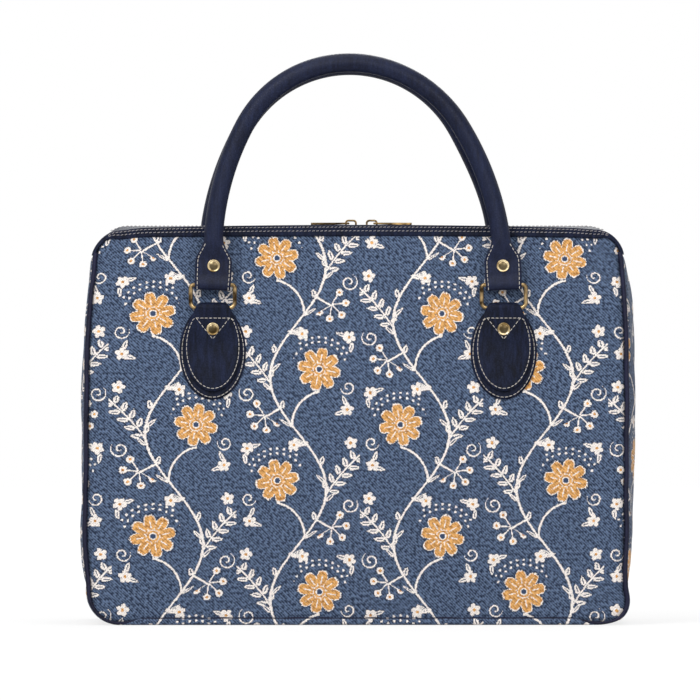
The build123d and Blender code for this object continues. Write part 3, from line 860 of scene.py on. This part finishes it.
def tree_with(name, inputs):
    """An empty geometry tree with named inputs, and the wires of those inputs."""
    tree = bpy.data.node_groups.new(name, "GeometryNodeTree")
    tree.interface.new_socket("Geometry", in_out="INPUT", socket_type="NodeSocketGeometry")
    for label, kind in inputs:
        tree.interface.new_socket(label, in_out="INPUT", socket_type="NodeSocket" + kind)
    tree.interface.new_socket("Geometry", in_out="OUTPUT", socket_type="NodeSocketGeometry")
    net = Net(tree)
    start = tree.nodes.new("NodeGroupInput")
    return net, {socket.name: Wire(net, socket) for socket in start.outputs if socket.name}


def closed_tree(net, geometry, finish):
    """Ends a tree: real faces, smooth, with their material."""
    real = net.node("GeometryNodeRealizeInstances", {}, {0: geometry})
    smooth = net.node("GeometryNodeSetShadeSmooth", {}, {0: real})
    done = net.node("GeometryNodeSetMaterial", {}, {"Geometry": smooth, "Material": finish})
    end = net.tree.nodes.new("NodeGroupOutput")
    net.tree.links.new(done.socket, end.inputs[0])
    return net.tree


def grown(name, mesh, tree, finish, **values):
    """What a tree makes on a mesh, as a plain mesh of its own."""
    piece = put(name, mesh, finish)
    grower = piece.modifiers.new("grown", "NODES")
    grower.node_group = tree
    for socket in tree.interface.items_tree:
        if socket.in_out == "INPUT" and socket.socket_type != "NodeSocketGeometry":
            grower[socket.identifier] = finish if socket.name == "Finish" else values[socket.name]
    piece = baked(piece)
    if not piece.data.materials:
        piece.data.materials.append(finish)
    return piece


def thread_tree():
    """Stitches along lines of edges whose points carry the way out of the surface."""
    sizes = [(label, "Float") for label in ("Pitch", "Stitch", "Radius", "Bow", "Slant")]
    net, given = tree_with("thread_row", sizes + [("Finish", "Material")])
    line = net.node("GeometryNodeMeshToCurve", {}, {0: given["Geometry"]})
    points = net.tree.nodes.new("GeometryNodeCurveToPoints")
    points.mode = "LENGTH"
    net.tree.links.new(line.socket, points.inputs["Curve"])
    net.tree.links.new(given["Pitch"].socket, points.inputs["Length"])
    outward = net.node("GeometryNodeInputNamedAttribute", {"data_type": "FLOAT_VECTOR"}, {"Name": "out"})
    axes = {"primary_axis": "Z", "secondary_axis": "X"}
    facing = net.node("FunctionNodeAxesToRotation", axes, {0: outward, 1: Wire(net, points.outputs["Tangent"])})
    skew = net.node("FunctionNodeAxisAngleToRotation", {}, {"Axis": (0.0, 0.0, 1.0), "Angle": given["Slant"]})
    facing = net.node("FunctionNodeRotateRotation", {"rotation_space": "LOCAL"}, {0: facing, 1: skew})
    half = given["Stitch"] * 0.5
    left = net.node("ShaderNodeCombineXYZ", {}, {0: half * -1})
    right = net.node("ShaderNodeCombineXYZ", {}, {0: half})
    bar = net.node("GeometryNodeCurvePrimitiveLine", {}, {"Start": left, "End": right})
    bar = net.node("GeometryNodeResampleCurve", {}, {"Curve": bar, "Count": 6})
    share = net.node("GeometryNodeSplineParameter", {}, {}) * 2 - 1
    rise = given["Bow"] * (1 - 2 * share * share * share * share)
    lifted = net.node("ShaderNodeCombineXYZ", {}, {2: rise})
    bar = net.node("GeometryNodeSetPosition", {}, {"Geometry": bar, "Offset": lifted})
    ring = net.node("GeometryNodeCurvePrimitiveCircle", {}, {"Resolution": 6, "Radius": given["Radius"]})
    stitch = net.node("GeometryNodeCurveToMesh", {}, {"Curve": bar, "Profile Curve": ring, "Fill Caps": True})
    sockets = {"Points": Wire(net, points.outputs["Points"]), "Instance": stitch, "Rotation": facing}
    placed = net.node("GeometryNodeInstanceOnPoints", {}, sockets)
    return closed_tree(net, placed, given["Finish"])


def tooth_tree():
    """Rounded teeth at the points of a row."""
    net, given = tree_with("tooth_row", [("Size", "Vector"), ("Finish", "Material")])
    block = net.node("GeometryNodeMeshCube", {}, {"Size": given["Size"]})
    block = net.node("GeometryNodeSubdivisionSurface", {}, {"Mesh": block, "Level": 1, "Edge Crease": 0.55})
    placed = net.node("GeometryNodeInstanceOnPoints", {}, {"Points": given["Geometry"], "Instance": block})
    return closed_tree(net, placed, given["Finish"])


thread_row, tooth_row = thread_tree(), tooth_tree()


def sew(name, lines, body, pitch=3.1 * mm, stitch=2.1 * mm, radius=0.25 * mm, slant=0.0, finish=cream_thread):
    """Rows of stitches. Each line is its points and, for each, the way out of the surface."""
    places, outward, edges = [], [], []
    for points, out in lines:
        first = len(places)
        places += [tuple(p) for p in settled(points)]
        outward += [tuple(o) for o in np.broadcast_to(out, np.shape(points))]
        edges += [(first + i, first + i + 1) for i in range(len(points) - 1)]
    mesh = bpy.data.meshes.new(name)
    mesh.from_pydata(places, edges, [])
    mesh.attributes.new("out", "FLOAT_VECTOR", "POINT").data.foreach_set("vector", np.ravel(outward))
    sizes = {"Pitch": pitch, "Stitch": stitch, "Radius": radius, "Bow": 0.22 * mm, "Slant": slant}
    rows = grown(name, mesh, thread_row, finish, **sizes)
    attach(rows, body)


tooth_count, tooth_pitch, tooth_size = 117, 2.8 * mm, (1.75 * mm, 4.0 * mm, 2.3 * mm)
for name, y, shift in (("front", -1.3 * mm, 0.34), ("back", 1.3 * mm, 0.84)):
    row_x = (np.arange(tooth_count) - (tooth_count - 1) / 2 + shift) * tooth_pitch
    mesh = bpy.data.meshes.new(name + "_teeth")
    mesh.from_pydata(settled([(x, y, tape_top_z + 0.95 * mm) for x in row_x]).tolist(), [], [])
    row = grown(name + "_teeth", mesh, tooth_row, tooth_plastic, Size=tooth_size)
    sewn(row, "bag", "zip_teeth", name + "_zip_teeth")


# Oval patches, strap tabs


def patch_at(x, up, lift):
    """A place of the right-hand patch, lifted by a share of its thickness."""
    z = patch_z + up
    return joined(tab_x + x, -face_depth(tab_x + x, z) - patch_thickness * lift, z)


def patch_points():
    """Rows of points from the middle of the oval to its rim and under it, with a pressed groove for the thread."""
    turn = np.linspace(0, 2 * math.pi, 120, endpoint=False)
    profile = [(share, 1.0) for share in (0.001, 0.25, 0.5, 0.7, 0.82, 0.87)]
    profile += [(0.892, 0.975), (0.914, 0.9), (0.936, 0.975), (0.955, 0.99), (0.97, 0.94), (0.984, 0.82)]
    profile += [(0.994, 0.62), (1.0, 0.35), (1.0, -0.4)]
    x, up = np.cos(turn) * patch_width / 2, np.sin(turn) * patch_height / 2
    return np.array([patch_at(x * share, up * share, lift) for share, lift in profile])


def bevelled(name, node, finish, width):
    """A copy of a metal solid with its edges broken."""
    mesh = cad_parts[node].data.copy()
    made = bmesh.new()
    made.from_mesh(mesh)
    bmesh.ops.remove_doubles(made, verts=made.verts, dist=0.002 * mm)
    bmesh.ops.dissolve_limit(made, angle_limit=math.radians(1), verts=made.verts, edges=made.edges)
    made.to_mesh(mesh)
    made.free()
    piece = put(name, mesh, finish)
    edge = piece.modifiers.new("edge", "BEVEL")
    edge.width, edge.segments, edge.limit_method, edge.angle_limit = width, 2, "ANGLE", math.radians(35)
    edge.harden_normals = False
    piece = baked(piece)
    piece.data.shade_smooth()
    return piece


def strap_front(x, z):
    """How far out the front of the right-hand strap tab lies."""
    leaf = face_depth(x, z) + patch_thickness + strap_thickness
    foot = face_depth(tab_x, fold_foot_z) + patch_thickness + strap_thickness
    head = -ring_y + eye_radius
    slope = foot + (head - foot) * (z - fold_foot_z) / (ring_low_z - fold_foot_z)
    soft = 0.5 * mm
    return soft * np.logaddexp(leaf / soft, slope / soft) - 0.1 * mm


flare_z = np.array([198.5, 205, 210, 216, 222.5, 226.4]) * mm
flare = np.array([20.75, 20.1, 19.0, 17.3, 14.2, 12.3]) * mm


def strap_half(z):
    """Half the width of the strap tab: an oval below, narrowing to a neck above."""
    if z < leaf_z:
        return max(leaf_width / 2 * math.sqrt(max(1 - ((leaf_z - z) / (leaf_height / 2)) ** 2, 0)), 1.3 * mm)
    return np.mean([np.interp(z + shift, flare_z, flare) for shift in np.linspace(-2.5 * mm, 2.5 * mm, 9)])


def strap_crown(x, wide):
    """How much fuller the tab is towards its middle."""
    return 0.85 * mm * np.maximum(1 - (x / wide) ** 2, 0)


def on_strap(x, z):
    """Places on the front of the right-hand tab."""
    crown = strap_crown(x, np.array([strap_half(value) for value in z]))
    return joined(tab_x + x, -strap_front(tab_x + x, z) - crown, z)


def filled(points, step):
    """The same line with points at even steps."""
    points = np.asarray(points, float)
    at = run_length(points)
    even = np.linspace(0, at[-1], max(2, int(round(at[-1] / step)) + 1))
    return joined(*(np.interp(even, at, column) for column in points.T))


def tab_lines():
    """Stitch lines of the right-hand tab: round the patch, round the leaf, and the triangle at the rivet."""
    turn = np.linspace(0, 2 * math.pi, 160)
    inset = 1.75 * mm
    x, up = np.cos(turn) * (patch_width / 2 - inset), np.sin(turn) * (patch_height / 2 - inset)
    bare = (up < 25.5 * mm) | (np.abs(x) > 13.5 * mm)
    order = np.argsort((turn - math.pi / 2) % (2 * math.pi))
    order = [i for i in order if bare[i]]
    lines = [patch_at(x[order], up[order], 1.0)]
    inset, bar_z = 2.0 * mm, 219.2 * mm
    turn = np.linspace(math.radians(138), math.radians(402), 140)
    x = np.cos(turn) * (leaf_width / 2 - inset)
    z = leaf_z + np.sin(turn) * (leaf_height / 2 - inset)
    bar_half, wedge_half, wedge_z, wedge_foot_z = 11.6 * mm, 11.4 * mm, bar_z - 0.6 * mm, 204.2 * mm
    ring = np.concatenate([joined(x, z), [(bar_half, bar_z), (-bar_half, bar_z), (x[0], z[0])]])
    wedge = [(-wedge_half, wedge_z), (0, wedge_foot_z), (wedge_half, wedge_z)]
    return lines + [on_strap(*filled(line, 1.0 * mm).T) for line in (ring, wedge)]


def strap_points():
    """The right-hand tab: an oval leaf that narrows to a neck, goes over the bar of the ring and back down."""
    half = strap_thickness / 2
    rings = []
    low = leaf_z - leaf_height / 2 * np.sin(np.linspace(0.985, 0, 22) * math.pi / 2)
    for z in np.concatenate([low, np.linspace(leaf_z, ring_low_z, 26)[1:]]):
        wide = strap_half(z)
        x = np.linspace(-wide + half, wide - half, 17)
        rim = wide - np.abs(x)
        pressed = 0.3 * mm * bell(rim - 2 * mm, 0.8 * mm)
        front = strap_front(tab_x + x, z) + strap_crown(x, wide) - pressed
        ring = strap_section(joined(x, front - half), half)
        rings.append(joined(tab_x + ring[:, 0], -ring[:, 1], z))
    reach, return_z = eye_radius - half, 214 * mm
    neck_half, neck_less = 12.1 * mm, 1.7 * mm
    turns = np.linspace(0, math.pi, 15)[1:]
    neck = [(-ring_y + reach * math.cos(angle), ring_low_z + reach * math.sin(angle), angle) for angle in turns]
    behind = -ring_y - reach
    foot = face_depth(tab_x, return_z) + patch_thickness + half
    for share in (0.35, 0.7, 1.0):
        neck.append((behind + (foot - behind) * share, ring_low_z + (return_z - ring_low_z) * share, math.pi))
    for i, (depth, z, angle) in enumerate(neck):
        wide = neck_half - neck_less * ease(i / 5)
        x = np.linspace(-wide + half, wide - half, 17)
        ring = strap_section(joined(x, strap_crown(x, wide) * (1 - 0.6 * ease(i / 5))), half)
        y, z = -depth - ring[:, 1] * math.cos(angle), z + ring[:, 1] * math.sin(angle)
        rings.append(joined(tab_x + ring[:, 0], y, z))
    return np.array(rings)


front_way = np.array([0.0, -1.0, 0.12])  # out of the leaning front
strap, patch = strap_points(), patch_points()
for corner, flip in corners_of_bag:
    rolled(corner + "_patch_hide", flip(patch), navy_hide, "bag", "leather", corner + "_patch")
    rolled(corner + "_strap_hide", flip(strap), navy_hide, "bag", "leather", corner + "_strap_tab")
    sew(corner + "_tab_thread", [(flip(line), flip(front_way)) for line in tab_lines()], "bag")


# Rolled handles


def handle_line():
    """Middle line from the foot of the left end to the foot of the right end, with the section at each point."""
    up = np.array([-math.sin(end_tilt), math.cos(end_tilt)])
    origin = np.array([tab_x, ring_high_z])
    foot = origin + up * roll_rise
    rise, span = handle_apex_z - foot[1], foot[0]
    stop = math.pi / 2 - leg_angle
    a, b = math.sin(crown_angle), math.sin(stop) - math.sin(crown_angle)
    c, d = 1 - math.cos(crown_angle), math.cos(crown_angle) - math.cos(stop)
    crown = (span * d - rise * b) / (a * d - b * c)
    leg = (rise * a - span * c) / (a * d - b * c)
    rows = []
    for angle in np.linspace(0, crown_angle, 34)[:-1]:
        rows.append((crown * math.sin(angle), handle_apex_z - crown + crown * math.cos(angle), angle))
    knee = np.array([crown * math.sin(crown_angle), handle_apex_z - crown + crown * math.cos(crown_angle)])
    centre = knee - leg * np.array([math.sin(crown_angle), math.cos(crown_angle)])
    for angle in np.linspace(crown_angle, stop, 22):
        rows.append((centre[0] + leg * math.sin(angle), centre[1] + leg * math.cos(angle), angle))
    line = [(np.array([x, z]), angle, handle_radius, handle_radius, 2.0) for x, z, angle in rows]
    turned_under = -eye_radius * np.sin(np.linspace(0, math.pi / 2, 9))[1:]
    for rise in np.concatenate([np.linspace(roll_rise, 0, 40)[1:], turned_under]):
        angle = math.pi / 2 - end_tilt - (leg_angle - end_tilt) * ease(rise / roll_rise)
        spread = ease((roll_rise - rise) / (roll_rise - flare_rise)) ** 1.6
        fold = ease((8 * mm - rise) / (8 * mm))
        wide = handle_radius + (end_half_width + 0.3 * mm * ease(rise / (8 * mm)) - handle_radius) * spread
        deep = handle_radius + (end_half_thickness - handle_radius) * spread
        deep = deep + (eye_radius - deep) * fold
        if rise < 0:
            deep = math.sqrt(max(eye_radius**2 - rise**2, 1e-9))
        line.append((origin + up * rise, angle, wide, deep, 2.0 + 4.5 * spread))
    return line


def handle_points():
    """Rows of points round the whole front handle, from its left end to its right end."""
    turn = np.linspace(0, 2 * math.pi, 44, endpoint=False)
    turn = turn + 0.12 * np.sin(turn)
    c, s = np.cos(turn), np.sin(turn)
    seam = 1 - 0.07 * bell(turn - math.pi, 0.16)
    right = []
    for middle, angle, wide, deep, power in handle_line():
        reach = (np.abs(c) ** power + np.abs(s) ** power) ** (-1 / power)
        out = wide * reach * c * seam
        x, z = middle[0] + math.sin(angle) * out, middle[1] + math.cos(angle) * out
        right.append(joined(x, ring_y + deep * reach * s, z))
    right = np.array(right)
    return np.concatenate([mirrored(right[1:])[::-1], right])


def end_lines():
    """Stitch lines along both edges of the right-hand end, on its two faces."""
    inset, lowest_z = 1.7 * mm, ring_high_z - 2.4 * mm
    lines = []
    for face in (-1, 1):
        for edge in (-1, 1):
            points = []
            for middle, angle, wide, deep, power in handle_line():
                flat = wide > 9 * mm or power > 3.0
                if flat and middle[1] > lowest_z:
                    lift = deep * (1 - ((wide - inset) / wide) ** power) ** (1 / power)
                    x, z = middle + edge * (wide - inset) * np.array([math.sin(angle), math.cos(angle)])
                    points.append((x, ring_y + face * lift, z))
            lines.append((filled(points, 0.8 * mm), np.array([0.0, face, 0.0])))
    return lines


lean_from_z, handle_lean, back_bow = 262 * mm, {"front": 0.0435, "back": 0.004}, 3.1 * mm


def leaning(points, side):
    """Soft handles lean to one side above their ends; the back one is also bowed to the left."""
    points = np.array(points, float)
    x, rise = points[..., 0].copy(), points[..., 2] - lean_from_z
    points[..., 0] -= handle_lean[side] * np.maximum(rise, 0)
    if side == "back":
        bowed = np.where(x < 0, ease((rise + 8 * mm) / (35 * mm)), ease((rise - 24 * mm) / (60 * mm)))
        points[..., 0] -= back_bow * bowed
    return points


def reshaped(mesh, move):
    """The same mesh with its points moved."""
    points = np.empty(len(mesh.vertices) * 3)
    mesh.vertices.foreach_get("co", points)
    mesh.vertices.foreach_set("co", move(points.reshape(-1, 3)).reshape(-1))
    return mesh


handle = handle_points()
for side, flip in faces_of_bag:
    body = side + "_handle"
    cover = leaning(flip(handle), side)
    rolled(side + "_handle_hide", cover, smooth_hide, body, "leather", side + "_handle_cover")
    lines = [(flip(p), flip(o)) for p, o in end_lines()]
    lines += [(flip(mirrored(p)), flip(mirrored(o))) for p, o in end_lines()]
    sew(side + "_handle_thread", [(leaning(p, side), o) for p, o in lines], body)
    mesh = reshaped(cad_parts[side + "_handle_core"].data.copy(), lambda points: leaning(points, side))
    sewn(put(side + "_handle_cord", mesh, filler_cord), body, "cord", side + "_handle_core")


# Rows of stitching along the strips


def rim_line(share):
    """Line on the front of the lip, at a share of its width in from the edge of the body."""
    points = []
    for point, out in zip(*rim_path(2 * mm)):
        distance = max(share * lip_width(point, out), 1.0 * mm)
        if out[1] > 0.88:
            y = np.array(-half_depth(point[1] - out[1] * distance) - lip_proud - 0.02 * mm)
            points.append(rim_place(point, out, y, distance))
    return np.array(points)


x = np.linspace(-178 * mm, 178 * mm, 90)
zip_side = joined(x, -9.6 * mm, body_height + 0.02 * mm)
for side, flip in faces_of_bag:
    lines = [(flip(rim_line(share)), flip(front_way)) for share in (0.22, 0.59)]
    lines.append((flip(zip_side), np.array([0.0, 0.0, 1.0])))
    sew(side + "_top_thread", lines, "bag", 2.9 * mm, 1.8 * mm, 0.24 * mm, 0.2, dull_thread)


# Metal


def thick_grip(points):
    """A pull's points, with its grip thickened on the upper side."""
    x, z = points[:, 0], points[:, 2]
    slope, level = np.polyfit(x, z, 1)
    reach = np.abs(x) - np.abs(x).min()
    thicker = (z > slope * x + level) * 0.8 * mm * ease((reach - 6 * mm) / (4 * mm))
    return joined(x, points[:, 1], z + thicker)


for side in ("left", "right"):
    slider = bevelled(side + "_slider_metal", side + "_slider", bronze_plate, 0.22 * mm)
    sewn(slider, side + "_slider", "hardware", side + "_slider")
    pull = bevelled(side + "_pull_metal", side + "_pull", bronze_plate, 0.25 * mm)
    reshaped(pull.data, thick_grip)
    sewn(pull, side + "_pull", "hardware", side + "_pull")


def rivet_cap(place, way):
    """A cap with a rolled rim round a low dome, seated at a place, and each point's distance from its middle."""
    outline = [(0.02, 1.62), (1.1, 1.55), (2.2, 1.32), (3.1, 0.98), (3.5, 0.86), (3.75, 1.0), (4.05, 1.2)]
    outline += [(4.35, 1.1), (4.55, 0.8), (4.6, 0.4), (4.55, -0.3)]
    way = np.array(way) / np.linalg.norm(way)
    across = np.array([1.0, 0, 0])
    up = np.cross(way, across)
    turn = np.linspace(0, 2 * math.pi, 36, endpoint=False)
    spoke = np.cos(turn)[:, None] * across + np.sin(turn)[:, None] * up
    points = np.array([place + (spoke * far + way * rise) * mm for far, rise in outline])
    far = np.array([far for far, _ in outline]) * mm
    cut = joined(np.linspace(0, 1, len(turn) + 1), far[:, None])
    return points, cut


rivet_z, rivet_rise = 211.5 * mm, 14 * mm
fold_y = -face_depth(tab_x, fold_foot_z) - patch_thickness - strap_thickness
fold_way = np.array([0, ring_y - eye_radius - fold_y, ring_low_z - fold_foot_z])
rivet_y = fold_y + fold_way[1] * (rivet_z - fold_foot_z) / fold_way[2] - 0.6 * mm
end_x, end_z = tab_x - math.sin(end_tilt) * rivet_rise, ring_high_z + math.cos(end_tilt) * rivet_rise
rivets = [("tab_rivet", np.array([tab_x, rivet_y, rivet_z]), (0, -fold_way[2], fold_way[1]))]
rivets.append(("handle_rivet_outside", np.array([end_x, ring_y - end_half_thickness, end_z]), (0, -1, 0)))
rivets.append(("handle_rivet_inside", np.array([end_x, ring_y + end_half_thickness, end_z]), (0, 1, 0)))
for label, place, way in rivets:
    points, cut = rivet_cap(place, way)
    for corner, flip in corners_of_bag:
        body = "bag" if label == "tab_rivet" else corner.split("_")[0] + "_handle"
        node = "tab_rivets" if body == "bag" else body + "_rivets"
        rolled(corner + "_" + label, flip(points), cap_plate, body, "hardware", node, cut)

finishes = {"base_board": pressed_board} | {corner + "_ring": gold_plate for corner, _ in corners_of_bag}
for name, finish in finishes.items():
    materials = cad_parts[name].data.materials
    materials.clear()
    materials.append(finish)


# Studio: pale floor, soft lamps, camera in front


def seen_directly(net):
    """1 for what the camera sees itself or in a gloss, 0 for the light that falls on other things."""
    path = net.tree.nodes.new("ShaderNodeLightPath").outputs
    rays = [Wire(net, path[kind]) for kind in ("Is Camera Ray", "Is Glossy Ray", "Is Transmission Ray")]
    return reduce(Wire.high, rays)


def backdrop():
    """Floor that looks white to the camera and keeps a faint shadow near the bag."""
    mesh = bpy.data.meshes.new("floor")
    mesh.from_pydata([(-6, -6, 0), (6, -6, 0), (6, 6, 0), (-6, 6, 0)], [], [(0, 1, 2, 3)])
    net = Finish("pale_floor", Roughness=0.9, Specular_IOR_Level=0.0)
    net.shader.inputs["Base Color"].default_value = (0.86, 0.86, 0.86, 1)
    glow = net.node("ShaderNodeEmission", {}, {"Color": (1, 1, 1, 1), "Strength": 1.06})
    x, y, _ = net.apart(net.place())
    far = (((x * x + y * y).sqrt() - 0.25) / 0.6).held()
    share = seen_directly(net) * (0.75 + far * 0.25)
    mixed = net.node("ShaderNodeMixShader", {}, {0: share, 1: Wire(net, net.shader.outputs[0]), 2: glow})
    output = [n for n in net.tree.nodes if n.type == "OUTPUT_MATERIAL"][0]
    net.tree.links.new(mixed.socket, output.inputs["Surface"])
    put("floor", mesh, net.material)


def daylight():
    """Weak light from all round, white where the camera sees it."""
    world = bpy.data.worlds.new("studio")
    bpy.context.scene.world = world
    world.use_nodes = True
    net = Net(world.node_tree)
    net.tree.nodes.clear()
    soft = net.node("ShaderNodeBackground", {}, {"Color": (1, 1, 1, 1), "Strength": 0.26})
    white = net.node("ShaderNodeBackground", {}, {"Color": (1, 1, 1, 1), "Strength": 1.0})
    mixed = net.node("ShaderNodeMixShader", {}, {0: seen_directly(net), 1: soft, 2: white})
    output = net.tree.nodes.new("ShaderNodeOutputWorld")
    net.tree.links.new(mixed.socket, output.inputs["Surface"])


def lamp(name, place, aim, size, power):
    """A square lamp at a place, turned to what it lights."""
    light = bpy.data.lights.new(name, "AREA")
    light.shape, light.size, light.energy = "SQUARE", size, power
    holder = bpy.data.objects.new(name, light)
    bpy.context.scene.collection.objects.link(holder)
    holder.location = place
    holder.rotation_euler = (Vector(aim) - Vector(place)).to_track_quat("-Z", "Y").to_euler()


backdrop()
daylight()
middle = (0.0, -0.05, 0.17)
lamp("key", (-1.0, -2.0, 1.7), middle, 1.0, 36.0)
lamp("fill", (0.7, -2.3, 1.1), middle, 1.1, 18.0)
lamp("top", (0.0, -0.2, 2.1), middle, 1.2, 11.0)
lamp("rear", (0.25, 2.1, 1.5), middle, 1.2, 28.0)

azimuth, elevation, distance = math.radians(-0.9), math.radians(0.35), 10.0
aim = Vector((-6 * mm, -85 * mm, 196.4 * mm))
lens = bpy.data.cameras.new("camera")
lens.sensor_width, lens.lens = 36.0, 720.0
lens.clip_end = 50.0
camera = bpy.data.objects.new("camera", lens)
bpy.context.scene.collection.objects.link(camera)
level = math.cos(elevation)
toward = Vector((math.sin(azimuth) * level, -math.cos(azimuth) * level, math.sin(elevation)))
camera.location = aim + toward * distance
camera.rotation_euler = (-toward).to_track_quat("-Z", "Y").to_euler()
bpy.context.scene.camera = camera
bpy.context.scene.view_settings.view_transform = "Standard"

bpy.context.view_layer.update()
